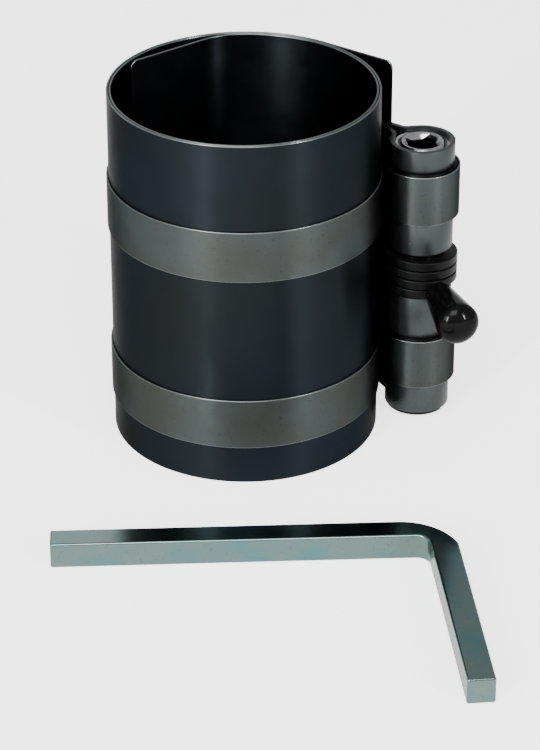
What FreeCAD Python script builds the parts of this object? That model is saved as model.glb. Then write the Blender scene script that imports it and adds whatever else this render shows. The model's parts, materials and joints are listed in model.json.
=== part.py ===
import FreeCAD, Part
import math
import os

from FreeCAD import Vector

# Piston ring compressor: a rolled spring steel sleeve, two tightening bands wound on a spindle,
# a riveted bracket that carries the spindle, a coil brake with its release lever, and the key.
# Lengths are in millimetres. Angles are in degrees, seen from above and counted from +X towards +Y.
# The origin is on the axis of the sleeve's bore, at its base, with +X towards the spindle.

# Sleeve: one sheet rolled a little over twice round, with a straight flange at its outer end
BORE_RADIUS = 31.2
SLEEVE_HEIGHT = 88.9
SLEEVE_SHEET = 0.5
SLEEVE_LAYER_GAP = 0.15
FLANGE_AZIMUTH = 53.9
FLANGE_LENGTH = 19.85
FLANGE_CORNER = 1.8
INNER_BEND_AZIMUTH = 92.0
INNER_BEND_RADIUS = 16.0
INNER_END_AZIMUTH = 152.0
INNER_END_CORNER = 2.0

# Bands: two strips that run round the sleeve and wind up on the spindle
BAND_WIDTH = 12.85
BAND_SHEET = 0.45
LOWER_BAND_BOTTOM = 9.8
UPPER_BAND_BOTTOM = 54.4
BAND_BEND_RADIUS = 1.0
BAND_TAIL_LENGTH = 2.8
BAND_OUTER_WRAP = 300.0
WINDING_GAP = 0.05
WINDING_CLEARANCE = 0.3
WINDING_RADIUS = 9.2
WINDING_HOOK_BEND = 0.55
WINDING_HOOK_DEPTH = 1.5

# Spindle: beyond the flange's end, with its rolls of band clear of the band on the sleeve
SPINDLE_BEYOND_FLANGE = 11.7
ROLL_CLEARANCE = 0.7
SPINDLE_RADIUS = 5.9
SPINDLE_BOTTOM = 0.4
SPINDLE_TOP_RECESS = 0.4
SPINDLE_TOP_CHAMFER = 0.9
SPINDLE_BOTTOM_CHAMFER = 0.5
SOCKET_DEPTH = 16.0
SOCKET_CLEARANCE = 0.15
SOCKET_CORNER_AZIMUTH = 64.0
HOOK_SLOT_WIDTH = 1.0

# Bracket: one sheet bent round the spindle, with both of its legs riveted to the flange
BRACKET_SHEET = 1.1
BRACKET_BOTTOM = 2.0
BRACKET_TOP = 73.2
KNUCKLE_RADIUS = 7.86
FOOT_CLEARANCE = 1.25
FOOT_BEND_RADIUS = 1.4
BACK_LEG_BEND_RADIUS = 2.2
BACK_LEG_RUN = 2.1
NECK_AZIMUTH = 192.0
NECK_CLEARANCE = 0.15
WINDOW_SIDE_CLEARANCE = 0.6
WINDOW_RADIAL_CLEARANCE = 0.5

# Bushes pressed into the four knuckles
BUSH_RUNNING_CLEARANCE = 0.05
BUSH_SEAT_CLEARANCE = 0.02
BUSH_RECESS = 0.9

# Rivets through the flange and the feet
RIVET_RADIUS = 0.85
RIVET_HEAD_RADIUS = 1.3
RIVET_HEAD_HEIGHT = 0.5
RIVET_HEAD_RIM = 0.15
RIVET_HOLE_CLEARANCE = 0.05
RIVET_HEAD_CLEARANCE = 0.62
RIVET_END_DISTANCE = 3.0
BAND_RIVET_SPACING = 7.0

# Coil brake and release lever: one left-hand coil of rectangular wire round the spindle
WIRE_WIDTH = 3.2
WIRE_HEIGHT = 2.2
COIL_PITCH = 2.5
COIL_WHOLE_TURNS = 3
COIL_TOP = 45.2
COIL_TANG_BEND = 2.1
COIL_TANG_REACH = 11.0
LEVER_AZIMUTH = -75.4
LEVER_BEND = 2.1
LEVER_TURN = 300.0
LEVER_CUT = 0.6

# Soft grip pushed over the lever
GRIP_START = 9.7
GRIP_END = 27.6
GRIP_ROOT_RADIUS = 3.5
GRIP_TIP_RADIUS = 5.1
GRIP_TIP_ROUNDING = 2.9
GRIP_ROOT_CHAMFER = 0.4
GRIP_END_WALL = 3.0

# Retaining ring below the bottom knuckle
RING_SHEET = 0.8
RING_OUTER_RADIUS = 7.3
RING_OPENING = 70.0
RING_GROOVE_RADIUS = 4.9
RING_GROOVE_CLEARANCE = 0.05
RING_BELOW_BRACKET = 0.15

# Key: a square bar bent to an L, lying on the surface that the sleeve stands on
KEY_BAR = 6.35
KEY_EDGE_ROUNDING = 0.5
KEY_INNER_RADIUS = 3.2
KEY_OUTER_LEAD = 13.0
KEY_OUTER_DROP = 9.6
KEY_LONG_ARM = 93.0
KEY_SHORT_ARM = 63.5
KEY_TURN = 87.0
KEY_HEADING = 2.6
KEY_START_X = -44.6
KEY_START_Y = -66.4

# A fit between two pieces that touch, and how far a cut runs past the face that it opens
TOUCH_GAP = 0.05
OVERCUT = 1.0


def unit(angle):
    """Unit vector in plan."""
    return Vector(math.cos(math.radians(angle)), math.sin(math.radians(angle)), 0)


class Track:
    """A route in plan, made of straight runs and arcs that stay tangent to each other."""

    def __init__(self, point, heading):
        self.point = point
        self.heading = heading
        self.steps = []

    def run(self, length):
        self.steps.append((self.point, self.heading, length, 0.0))
        self.point = self.point + unit(self.heading) * length
        return self

    def turn(self, radius, angle):
        """An arc, to the left for a positive angle and to the right for a negative one."""
        side = math.copysign(90, angle)
        self.steps.append((self.point, self.heading, radius, angle))
        centre = self.point + unit(self.heading + side) * radius
        self.heading += angle
        self.point = centre - unit(self.heading + side) * radius
        return self

    def left_to(self, radius, heading):
        return self.turn(radius, (heading - self.heading) % 360)

    def right_to(self, radius, heading):
        return self.turn(radius, -((self.heading - heading) % 360))

    def shifted(self, offset):
        """The route's edges, moved to its left by the offset."""
        edges = []
        for point, heading, size, angle in self.steps:
            left = unit(heading + 90)
            if angle == 0:
                start = point + left * offset
                edges.append(Part.LineSegment(start, start + unit(heading) * size).toShape())
                continue
            sense = math.copysign(1, angle)
            centre = point + left * (sense * size)
            radius = sense * size - offset
            stops = [centre - unit(heading + share * angle + 90) * radius for share in (0, 0.5, 1)]
            edges.append(Part.Arc(*stops).toShape())
        return edges


def straight_between(first, second):
    """Heading and length of the run between two circles, each given as its centre and its radius.
    A radius is positive where the route turns left round the circle, and negative to the right."""
    gap = second[0] - first[0]
    lean = math.degrees(math.asin((first[1] - second[1]) / gap.Length))
    return math.degrees(math.atan2(gap.y, gap.x)) + lean, gap.Length * math.cos(math.radians(lean))


def strip(track, thickness, bottom, height):
    """A sheet of constant thickness that follows the route and stands on its edge."""
    left = track.shifted(thickness / 2)
    right = track.shifted(-thickness / 2)
    caps = []
    for end in (0, -1):
        ends = [edges[end].Vertexes[end].Point for edges in (left, right)]
        caps.append(Part.LineSegment(*ends).toShape())
    outline = Part.Wire(Part.__sortEdges__(left + right + caps))
    solid = Part.Face(outline).extrude(Vector(0, 0, height))
    solid.translate(Vector(0, 0, bottom))
    return solid


def round_corners(solid, point, size):
    """Rounds the upper and lower corners of a strip at the end that lies at the point in plan."""
    ends = []
    for edge in solid.Edges:
        first, last = edge.Vertexes[0].Point, edge.Vertexes[-1].Point
        middle = (first + last) * 0.5
        flat = abs(first.z - last.z) < 1e-6 < (first - last).Length
        if flat and math.hypot(middle.x - point.x, middle.y - point.y) < 1e-4:
            ends.append(edge)
    return solid.makeFillet(size, ends)


def revolved(outline, centre=Vector(0, 0, 0)):
    """A solid turned about +Z, from the (radius, height) points of its half section.
    Where two more numbers follow in a point, an arc leads to it and passes through the place they give."""
    edges = []
    for first, last in zip(outline, outline[1:] + outline[:1]):
        start, end = Vector(first[0], 0, first[1]), Vector(last[0], 0, last[1])
        if len(last) == 4:
            edges.append(Part.Arc(start, Vector(last[2], 0, last[3]), end).toShape())
        else:
            edges.append(Part.LineSegment(start, end).toShape())
    solid = Part.Face(Part.Wire(edges)).revolve(Vector(0, 0, 0), Vector(0, 0, 1), 360)
    solid.translate(centre)
    return solid


def cylinder(radius, bottom, top, centre):
    return Part.makeCylinder(radius, top - bottom, centre + Vector(0, 0, bottom))


def save(name, shape):
    shape.exportStep("parts/" + name + ".step")


# Sleeve layers: half turns about two centres, each half a layer smaller than the one before
layer_pitch = SLEEVE_SHEET + SLEEVE_LAYER_GAP
layer_radii = [BORE_RADIUS + SLEEVE_SHEET / 2 + layer_pitch * half / 2 for half in (3, 2, 1, 0, -1)]
even_centre = unit(FLANGE_AZIMUTH) * (layer_pitch / 2)
odd_centre = Vector(0, 0, 0)
flange_heading = FLANGE_AZIMUTH - 90
flange_distance = layer_pitch / 2 + layer_radii[0]
wall_radius = layer_radii[1] + SLEEVE_SHEET / 2


def at_flange(along, outwards, height=0.0):
    """A point along the flange from where it leaves the rolled wall, and outwards from its mid plane."""
    plan = unit(FLANGE_AZIMUTH) * (flange_distance + outwards) + unit(flange_heading) * along
    return plan + Vector(0, 0, height)


def where_wall_clears(outwards):
    """How far along the flange the rolled wall curves away behind a plane that is parallel to the flange."""
    return math.sqrt(wall_radius**2 - (flange_distance + outwards) ** 2)


# The spindle's place: its distance from the bore's axis follows from the roll's clearance
spindle_along = FLANGE_LENGTH + SPINDLE_BEYOND_FLANGE
spindle_distance = wall_radius + TOUCH_GAP + BAND_SHEET + ROLL_CLEARANCE + WINDING_RADIUS
spindle_outwards = math.sqrt(spindle_distance**2 - spindle_along**2) - flange_distance
spindle_axis = at_flange(spindle_along, spindle_outwards)

# The stack on the flange's front, from the flange towards the bore
back_foot = -(SLEEVE_SHEET / 2 + TOUCH_GAP + BRACKET_SHEET / 2)
front_foot = back_foot - BRACKET_SHEET - TOUCH_GAP
feet_face = front_foot - BRACKET_SHEET / 2
band_tail = feet_face - TOUCH_GAP - BAND_SHEET / 2
band_tail_face = band_tail - BAND_SHEET / 2
flange_back_face = SLEEVE_SHEET / 2
rivet_head_start = where_wall_clears(band_tail_face - RIVET_HEAD_HEIGHT) + RIVET_HEAD_CLEARANCE
rivet_along = rivet_head_start + RIVET_HEAD_RADIUS
tail_end_along = rivet_along + BAND_TAIL_LENGTH / 2
foot_start_along = where_wall_clears(feet_face) + FOOT_CLEARANCE
foot_bend_along = tail_end_along + BAND_BEND_RADIUS

# Heights along the spindle
band_bottoms = {"lower": LOWER_BAND_BOTTOM, "upper": UPPER_BAND_BOTTOM}
spindle_top = BRACKET_TOP - SPINDLE_TOP_RECESS
coil_turns = COIL_WHOLE_TURNS + (LEVER_AZIMUTH - flange_heading - 180) % 360 / 360
wire_bottom = COIL_TOP - WIRE_HEIGHT / 2 - coil_turns * COIL_PITCH
windows = [
    (LOWER_BAND_BOTTOM - WINDOW_SIDE_CLEARANCE, LOWER_BAND_BOTTOM + BAND_WIDTH + WINDOW_SIDE_CLEARANCE),
    (wire_bottom - WIRE_HEIGHT / 2 - WINDOW_SIDE_CLEARANCE, COIL_TOP + WINDOW_SIDE_CLEARANCE),
    (UPPER_BAND_BOTTOM - WINDOW_SIDE_CLEARANCE, UPPER_BAND_BOTTOM + BAND_WIDTH + WINDOW_SIDE_CLEARANCE),
]
window_radius = WINDING_RADIUS + WINDOW_RADIAL_CLEARANCE
levels = [BRACKET_BOTTOM] + [level for window in windows for level in window] + [BRACKET_TOP]
knuckle_names = ("bottom", "lower_mid", "upper_mid", "top")
knuckles = dict(zip(knuckle_names, zip(levels[::2], levels[1::2])))

# Rivet heights: one in each plain stretch of the feet, and two in each band
band_rivet_heights = {
    name: [bottom + BAND_WIDTH / 2 + side * BAND_RIVET_SPACING / 2 for side in (-1, 1)]
    for name, bottom in band_bottoms.items()
}
bracket_rivet_heights = [
    BRACKET_BOTTOM + RIVET_END_DISTANCE,
    sum(knuckles["lower_mid"]) / 2,
    sum(windows[1]) / 2,
    sum(knuckles["upper_mid"]) / 2,
    BRACKET_TOP - RIVET_END_DISTANCE,
]


def rivet(front, back, height):
    """A rivet whose shank runs from the front face of the stack to its back face, with two domed heads."""
    grip = back - front
    rise = RIVET_HEAD_HEIGHT - RIVET_HEAD_RIM
    sphere = (RIVET_HEAD_RADIUS**2 + rise**2) / (2 * rise)
    lean = math.asin(RIVET_HEAD_RADIUS / sphere) / 2
    beside, below = sphere * math.sin(lean), RIVET_HEAD_HEIGHT - sphere * (1 - math.cos(lean))
    outline = [
        (0, -RIVET_HEAD_HEIGHT),
        (RIVET_HEAD_RADIUS, -RIVET_HEAD_RIM, beside, -below),
        (RIVET_HEAD_RADIUS, 0),
        (RIVET_RADIUS, 0),
        (RIVET_RADIUS, grip),
        (RIVET_HEAD_RADIUS, grip),
        (RIVET_HEAD_RADIUS, grip + RIVET_HEAD_RIM),
        (0, grip + RIVET_HEAD_HEIGHT, beside, grip + below),
    ]
    solid = revolved(outline)
    solid.rotate(Vector(0, 0, 0), Vector(0, 1, 0), 90)
    solid.rotate(Vector(0, 0, 0), Vector(0, 0, 1), FLANGE_AZIMUTH)
    solid.translate(at_flange(rivet_along, front, height))
    return solid


def rivet_holes(heights):
    """Clearance holes through everything in the stack, which stop short of the rolled wall in front."""
    front = band_tail_face - TOUCH_GAP
    length = flange_back_face + TOUCH_GAP - front
    radius = RIVET_RADIUS + RIVET_HOLE_CLEARANCE
    holes = []
    for height in heights:
        start = at_flange(rivet_along, front, height)
        holes.append(Part.makeCylinder(radius, length, start, unit(FLANGE_AZIMUTH)))
    return Part.makeCompound(holes)


all_rivet_heights = bracket_rivet_heights + band_rivet_heights["lower"] + band_rivet_heights["upper"]


def make_sleeve():
    inner_radius = layer_radii[4]
    bend = (even_centre + unit(INNER_BEND_AZIMUTH) * (inner_radius - INNER_BEND_RADIUS), INNER_BEND_RADIUS)
    end = (even_centre + unit(INNER_END_AZIMUTH) * inner_radius, 0)
    heading, length = straight_between(bend, end)
    flange_end = at_flange(FLANGE_LENGTH, 0)
    track = Track(flange_end, flange_heading + 180).run(FLANGE_LENGTH)
    for radius in layer_radii[:4]:
        track.turn(radius, 180)
    track.turn(inner_radius, INNER_BEND_AZIMUTH - FLANGE_AZIMUTH)
    track.left_to(INNER_BEND_RADIUS, heading)
    track.run(length)
    solid = strip(track, SLEEVE_SHEET, 0, SLEEVE_HEIGHT)
    solid = round_corners(solid, flange_end, FLANGE_CORNER)
    solid = round_corners(solid, track.point, INNER_END_CORNER)
    return solid.cut(rivet_holes(all_rivet_heights))


def make_band(name):
    """The strip from its riveted tail, round the sleeve, to the outermost turn on the spindle."""
    offset = SLEEVE_SHEET / 2 + TOUCH_GAP + BAND_SHEET / 2
    bend = (at_flange(tail_end_along, band_tail - BAND_BEND_RADIUS), -BAND_BEND_RADIUS)
    right_half = (odd_centre, -(layer_radii[1] + offset))
    left_half = (even_centre, -(layer_radii[0] + offset))
    wound = (spindle_axis, -(WINDING_RADIUS - BAND_SHEET / 2))
    to_sleeve, first_run = straight_between(bend, right_half)
    to_spindle, second_run = straight_between(left_half, wound)
    start = at_flange(tail_end_along - BAND_TAIL_LENGTH, band_tail)
    track = Track(start, flange_heading).run(BAND_TAIL_LENGTH)
    track.right_to(-bend[1], to_sleeve).run(first_run)
    track.right_to(-right_half[1], FLANGE_AZIMUTH + 90)
    track.right_to(-left_half[1], to_spindle).run(second_run)
    track.turn(-wound[1], -BAND_OUTER_WRAP)
    solid = strip(track, BAND_SHEET, band_bottoms[name], BAND_WIDTH)
    return solid.cut(rivet_holes(band_rivet_heights[name]))


def winding_radii():
    """Radii of the winding's half turns inside the outermost turn, from the outside to the spindle."""
    first = WINDING_RADIUS - BAND_SHEET - WINDING_CLEARANCE - BAND_SHEET / 2
    last = SPINDLE_RADIUS + TOUCH_GAP + BAND_SHEET / 2
    step = (BAND_SHEET + WINDING_GAP) / 2
    pairs = int((first - last) / (2 * step))
    return [first - step * half for half in range(2 * pairs)], step


def hook_azimuth():
    """The winding's inner end goes into the spindle over the flat of the socket that faces the bore."""
    return SOCKET_CORNER_AZIMUTH + 135


def make_winding(name):
    """The band's inner turns on the spindle, with the end hooked into the spindle's slot."""
    radii, step = winding_radii()
    start = spindle_axis + unit(hook_azimuth()) * radii[0]
    track = Track(start, hook_azimuth() - 90)
    for radius in radii:
        track.turn(radius, -180)
    track.turn(WINDING_HOOK_BEND, -90)
    landing = radii[-1] - step - WINDING_HOOK_BEND
    track.run(landing - (SPINDLE_RADIUS - WINDING_HOOK_DEPTH))
    return strip(track, BAND_SHEET, band_bottoms[name], BAND_WIDTH)


def hook_slot(name):
    """The slot in the spindle that takes the winding's hooked end."""
    depth = WINDING_HOOK_DEPTH + TOUCH_GAP
    slot = Part.makeBox(depth + OVERCUT, HOOK_SLOT_WIDTH, BAND_WIDTH + 2 * TOUCH_GAP)
    slot.translate(Vector(SPINDLE_RADIUS - depth, -WINDING_HOOK_BEND - HOOK_SLOT_WIDTH / 2, 0))
    slot.rotate(Vector(0, 0, 0), Vector(0, 0, 1), hook_azimuth())
    slot.translate(spindle_axis + Vector(0, 0, band_bottoms[name] - TOUCH_GAP))
    return slot


def make_spindle():
    groove_top = BRACKET_BOTTOM - RING_BELOW_BRACKET + RING_GROOVE_CLEARANCE
    groove_bottom = groove_top - RING_SHEET - 2 * RING_GROOVE_CLEARANCE
    outline = [
        (0, SPINDLE_BOTTOM),
        (SPINDLE_RADIUS - SPINDLE_BOTTOM_CHAMFER, SPINDLE_BOTTOM),
        (SPINDLE_RADIUS, SPINDLE_BOTTOM + SPINDLE_BOTTOM_CHAMFER),
        (SPINDLE_RADIUS, groove_bottom),
        (RING_GROOVE_RADIUS, groove_bottom),
        (RING_GROOVE_RADIUS, groove_top),
        (SPINDLE_RADIUS, groove_top),
        (SPINDLE_RADIUS, spindle_top - SPINDLE_TOP_CHAMFER),
        (SPINDLE_RADIUS - SPINDLE_TOP_CHAMFER, spindle_top),
        (0, spindle_top),
    ]
    solid = revolved(outline, spindle_axis)
    side = KEY_BAR + SOCKET_CLEARANCE
    floor = spindle_top - SOCKET_DEPTH
    socket = Part.makeBox(side, side, SOCKET_DEPTH + OVERCUT, Vector(-side / 2, -side / 2, 0))
    socket.rotate(Vector(0, 0, 0), Vector(0, 0, 1), SOCKET_CORNER_AZIMUTH - 45)
    socket.translate(spindle_axis + Vector(0, 0, floor))
    drill_point = Part.makeCone(0, side / 2, side / 4, spindle_axis + Vector(0, 0, floor - side / 4))
    cuts = [socket, drill_point, hook_slot("lower"), hook_slot("upper")]
    return solid.cut(Part.makeCompound(cuts))


def coil_tang():
    """The fixed end of the coil: it bends out of the top turn and runs back between the bracket's legs."""
    azimuth = flange_heading + 180
    start = spindle_axis + unit(azimuth) * (SPINDLE_RADIUS + BUSH_RUNNING_CLEARANCE + WIRE_WIDTH / 2)
    track = Track(start, azimuth - 90).turn(COIL_TANG_BEND, 90)
    reach = COIL_TANG_REACH - (start - spindle_axis).Length - COIL_TANG_BEND
    return track.run(reach)


def make_bracket():
    middle = KNUCKLE_RADIUS - BRACKET_SHEET / 2
    back_bend_outwards = back_foot + BACK_LEG_BEND_RADIUS
    bend_to_ring = math.hypot(middle + BACK_LEG_BEND_RADIUS, BACK_LEG_RUN)
    rise = back_bend_outwards - spindle_outwards
    back_bend_along = spindle_along - math.sqrt(bend_to_ring**2 - rise**2)
    back_bend = (at_flange(back_bend_along, back_bend_outwards), BACK_LEG_BEND_RADIUS)
    ring = (spindle_axis, -middle)
    reach = middle + FOOT_BEND_RADIUS + NECK_CLEARANCE
    neck = (spindle_axis + unit(flange_heading + NECK_AZIMUTH) * reach, FOOT_BEND_RADIUS)
    foot_bend = (at_flange(foot_bend_along, front_foot - FOOT_BEND_RADIUS), FOOT_BEND_RADIUS)
    up_back, back_run = straight_between(back_bend, ring)
    off_ring, neck_run = straight_between(ring, neck)
    to_foot, leg_run = straight_between(neck, foot_bend)
    track = Track(at_flange(foot_start_along, back_foot), flange_heading)
    track.run(back_bend_along - foot_start_along)
    track.left_to(BACK_LEG_BEND_RADIUS, up_back).run(back_run)
    track.right_to(middle, off_ring).run(neck_run)
    track.left_to(FOOT_BEND_RADIUS, to_foot).run(leg_run)
    track.left_to(FOOT_BEND_RADIUS, flange_heading + 180)
    track.run(foot_bend_along - foot_start_along)
    solid = strip(track, BRACKET_SHEET, BRACKET_BOTTOM, BRACKET_TOP - BRACKET_BOTTOM)
    cuts = [cylinder(window_radius, low, high, spindle_axis) for low, high in windows]
    slot = coil_tang().run(2 * TOUCH_GAP)
    slot_bottom = COIL_TOP - WIRE_HEIGHT - TOUCH_GAP
    cuts.append(strip(slot, WIRE_WIDTH + 2 * TOUCH_GAP, slot_bottom, WIRE_HEIGHT + 2 * TOUCH_GAP))
    cuts.append(rivet_holes(all_rivet_heights))
    return solid.cut(Part.makeCompound(cuts))


def make_bush(name):
    low, high = knuckles[name]
    outer = KNUCKLE_RADIUS - BRACKET_SHEET - BUSH_SEAT_CLEARANCE
    inner = SPINDLE_RADIUS + BUSH_RUNNING_CLEARANCE
    low, high = low + BUSH_RECESS, high - BUSH_RECESS
    return revolved([(inner, low), (outer, low), (outer, high), (inner, high)], spindle_axis)


def coil(azimuth, height, degrees):
    """A left-hand coil of the brake's wire that starts at the azimuth and height and climbs."""
    radius = SPINDLE_RADIUS + BUSH_RUNNING_CLEARANCE + WIRE_WIDTH / 2
    spine = Part.makeLongHelix(COIL_PITCH, COIL_PITCH * degrees / 360, radius, 0, True)
    half_width, half_height = WIRE_WIDTH / 2, WIRE_HEIGHT / 2
    corners = [
        Vector(radius + half_width * side, 0, half_height * level)
        for side, level in ((-1, -1), (1, -1), (1, 1), (-1, 1), (-1, -1))
    ]
    solid = Part.Wire(spine.Edges).makePipeShell([Part.makePolygon(corners)], True, True)
    solid.rotate(Vector(0, 0, 0), Vector(0, 0, 1), azimuth)
    solid.translate(spindle_axis + Vector(0, 0, height))
    return solid


def make_brake_spring():
    """The coil above the lever's own turn, with its fixed tang."""
    start = LEVER_TURN + LEVER_CUT
    body = coil(LEVER_AZIMUTH - start, wire_bottom + COIL_PITCH * start / 360, 360 * coil_turns - start)
    tang = strip(coil_tang(), WIRE_WIDTH, COIL_TOP - WIRE_HEIGHT, WIRE_HEIGHT)
    return body.fuse(tang).removeSplitter()


def lever_arm():
    """The free end of the coil: it bends out of the bottom turn and becomes the lever."""
    radius = SPINDLE_RADIUS + BUSH_RUNNING_CLEARANCE + WIRE_WIDTH / 2
    track = Track(spindle_axis + unit(LEVER_AZIMUTH) * radius, LEVER_AZIMUTH + 90)
    track.turn(LEVER_BEND, -90)
    return track.run(GRIP_END - GRIP_END_WALL - radius - LEVER_BEND)


def make_release_lever():
    body = coil(LEVER_AZIMUTH, wire_bottom, LEVER_TURN)
    arm = strip(lever_arm(), WIRE_WIDTH, wire_bottom - WIRE_HEIGHT / 2, WIRE_HEIGHT)
    return body.fuse(arm).removeSplitter()


def make_lever_grip():
    """A soft sleeve that widens to a rounded tip, pushed over the lever."""
    shoulder = GRIP_END - GRIP_TIP_ROUNDING
    face_radius = GRIP_TIP_RADIUS - GRIP_TIP_ROUNDING
    diagonal = GRIP_TIP_ROUNDING * math.sqrt(0.5)
    outline = [
        (0, GRIP_START),
        (GRIP_ROOT_RADIUS - GRIP_ROOT_CHAMFER, GRIP_START),
        (GRIP_ROOT_RADIUS, GRIP_START + GRIP_ROOT_CHAMFER),
        (GRIP_TIP_RADIUS, shoulder),
        (face_radius, GRIP_END, face_radius + diagonal, shoulder + diagonal),
        (0, GRIP_END),
    ]
    solid = revolved(outline)
    solid.rotate(Vector(0, 0, 0), Vector(0, 1, 0), 90)
    solid.rotate(Vector(0, 0, 0), Vector(0, 0, 1), LEVER_AZIMUTH)
    solid.translate(spindle_axis + unit(LEVER_AZIMUTH + 90) * LEVER_BEND + Vector(0, 0, wire_bottom))
    return solid.cut(strip(lever_arm(), WIRE_WIDTH, wire_bottom - WIRE_HEIGHT / 2, WIRE_HEIGHT))


def make_retaining_ring():
    inner = RING_GROOVE_RADIUS + RING_GROOVE_CLEARANCE
    middle = (inner + RING_OUTER_RADIUS) / 2
    opening = unit(RING_OPENING / 2) * middle
    track = Track(spindle_axis + opening, RING_OPENING / 2 + 90).turn(middle, 360 - RING_OPENING)
    bottom = BRACKET_BOTTOM - RING_BELOW_BRACKET - RING_SHEET
    return strip(track, RING_OUTER_RADIUS - inner, bottom, RING_SHEET)


def make_key():
    """A bar whose outer side starts to bend early and runs into the short arm at a blunt corner."""
    turn = math.radians(KEY_TURN)
    forward = KEY_OUTER_LEAD + KEY_OUTER_DROP * math.cos(turn)
    drop = KEY_OUTER_DROP * math.sin(turn)
    outer_radius = (forward**2 + drop**2) / (2 * drop)
    start = Vector(KEY_START_X, KEY_START_Y, 0)
    across = unit(KEY_HEADING + 90) * (KEY_BAR / 2)
    outer = Track(start + across, KEY_HEADING).run(KEY_LONG_ARM - KEY_OUTER_LEAD)
    outer.turn(outer_radius, -math.degrees(math.asin(forward / outer_radius)))
    outer.heading = KEY_HEADING - KEY_TURN
    outer.run(KEY_SHORT_ARM - KEY_OUTER_DROP)
    setback = (KEY_BAR + KEY_INNER_RADIUS) * math.tan(turn / 2)
    inner = Track(start - across, KEY_HEADING).run(KEY_LONG_ARM - setback)
    inner.turn(KEY_INNER_RADIUS, -KEY_TURN).run(KEY_SHORT_ARM - setback)
    ends = [(start + across, start - across), (outer.point, inner.point)]
    caps = [Part.LineSegment(*end).toShape() for end in ends]
    outline = Part.Wire(Part.__sortEdges__(outer.shifted(0) + inner.shifted(0) + caps))
    bar = Part.Face(outline).extrude(Vector(0, 0, KEY_BAR))
    return bar.makeFillet(KEY_EDGE_ROUNDING, bar.Edges)


def main():
    os.makedirs("parts", exist_ok=True)
    save("sleeve", make_sleeve())
    save("bracket", make_bracket())
    save("spindle", make_spindle())
    save("brake_spring", make_brake_spring())
    save("release_lever", make_release_lever())
    save("lever_grip", make_lever_grip())
    save("retaining_ring", make_retaining_ring())
    save("key", make_key())
    rivets = [rivet(feet_face, flange_back_face, height) for height in bracket_rivet_heights]
    save("bracket_rivets", Part.makeCompound(rivets))
    for name in band_bottoms:
        save(name + "_band", make_band(name))
        save(name + "_band_winding", make_winding(name))
        rivets = [rivet(band_tail_face, flange_back_face, height) for height in band_rivet_heights[name]]
        save(name + "_band_rivets", Part.makeCompound(rivets))
    for name in knuckle_names:
        save(name + "_bush", make_bush(name))


main()
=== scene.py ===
"""Piston ring compressor with its key, dressed for pictures on a plain studio floor.

Lengths are in metres, written as millimetres times MM. Angles are in degrees, in plan from +X
towards +Y. The bore's axis is the Z axis, the sleeve stands on z = 0 and the spindle is at +X.
"""
import json
import math

import bmesh
import bpy
import numpy as np
from bpy.props import FloatProperty, FloatVectorProperty, PointerProperty
from mathutils import Matrix, Vector


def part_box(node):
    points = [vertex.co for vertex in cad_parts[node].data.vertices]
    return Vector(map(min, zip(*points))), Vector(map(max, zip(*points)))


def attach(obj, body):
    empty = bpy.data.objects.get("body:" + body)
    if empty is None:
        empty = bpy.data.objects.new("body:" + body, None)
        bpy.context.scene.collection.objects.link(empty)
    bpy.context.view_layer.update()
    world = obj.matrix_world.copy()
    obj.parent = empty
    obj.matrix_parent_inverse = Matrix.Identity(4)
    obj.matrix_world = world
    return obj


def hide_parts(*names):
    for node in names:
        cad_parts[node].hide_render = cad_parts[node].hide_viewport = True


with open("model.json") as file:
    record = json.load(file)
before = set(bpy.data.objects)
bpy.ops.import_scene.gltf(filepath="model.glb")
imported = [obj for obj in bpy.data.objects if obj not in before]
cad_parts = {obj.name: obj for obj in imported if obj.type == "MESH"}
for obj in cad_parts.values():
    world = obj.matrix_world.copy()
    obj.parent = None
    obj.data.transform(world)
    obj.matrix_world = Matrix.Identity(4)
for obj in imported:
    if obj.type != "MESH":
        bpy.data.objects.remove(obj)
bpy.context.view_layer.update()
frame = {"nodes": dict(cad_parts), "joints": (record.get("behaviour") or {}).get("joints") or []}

bl_info = {
    "name": "Piston ring compressor",
    "version": (1, 0, 0),
    "blender": (4, 5, 0),
    "location": "3D View > Sidebar > Compressor",
    "description": "Builds a piston ring compressor, its key and a studio",
    "category": "Object",
}

MM = 0.001

SAME_POINT = 0.001 * MM  # Points of a new surface that are nearer than this are one point
SAME_CAD_POINT = 0.002 * MM  # The same for a copy of a node's solid
FLAT = 0.2  # Angle in degrees up to which a solid's faces are one flat
SHARP = 40.0  # Angle in degrees from which a solid's edge is rounded
SHADED = 28.0  # Angle in degrees up to which a softened solid is shaded smooth
FRAME_HEIGHT = 36  # Height of the camera's frame in millimetres
LAMP_AIM = 40 * MM  # Height of the point that the lamps face


def joint_plan(name):
    """Plan position of a joint's axis."""
    joint = next(entry for entry in frame["joints"] if entry["name"] == name)
    return np.array(joint["pos_m"][:2])


def heights(node):
    """Lowest and highest point of a node."""
    low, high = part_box(node)
    return low.z, high.z


def half_height(node):
    """Half of a node's height."""
    low, high = heights(node)
    return (high - low) / 2


spindle_axis = joint_plan("spindle_turn")


def value_of(kind=FloatProperty, **limits):
    """A short way to write a property: its name, its default and its description."""
    return lambda name, default, description: kind(
        name=name, default=default, description=description, **limits
    )


length = value_of(unit="LENGTH", precision=5)
angle = value_of()
amount = value_of(min=0, precision=4)
share = value_of(min=0, max=1, subtype="FACTOR")
colour = value_of(FloatVectorProperty, size=3, subtype="COLOR")


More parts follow.
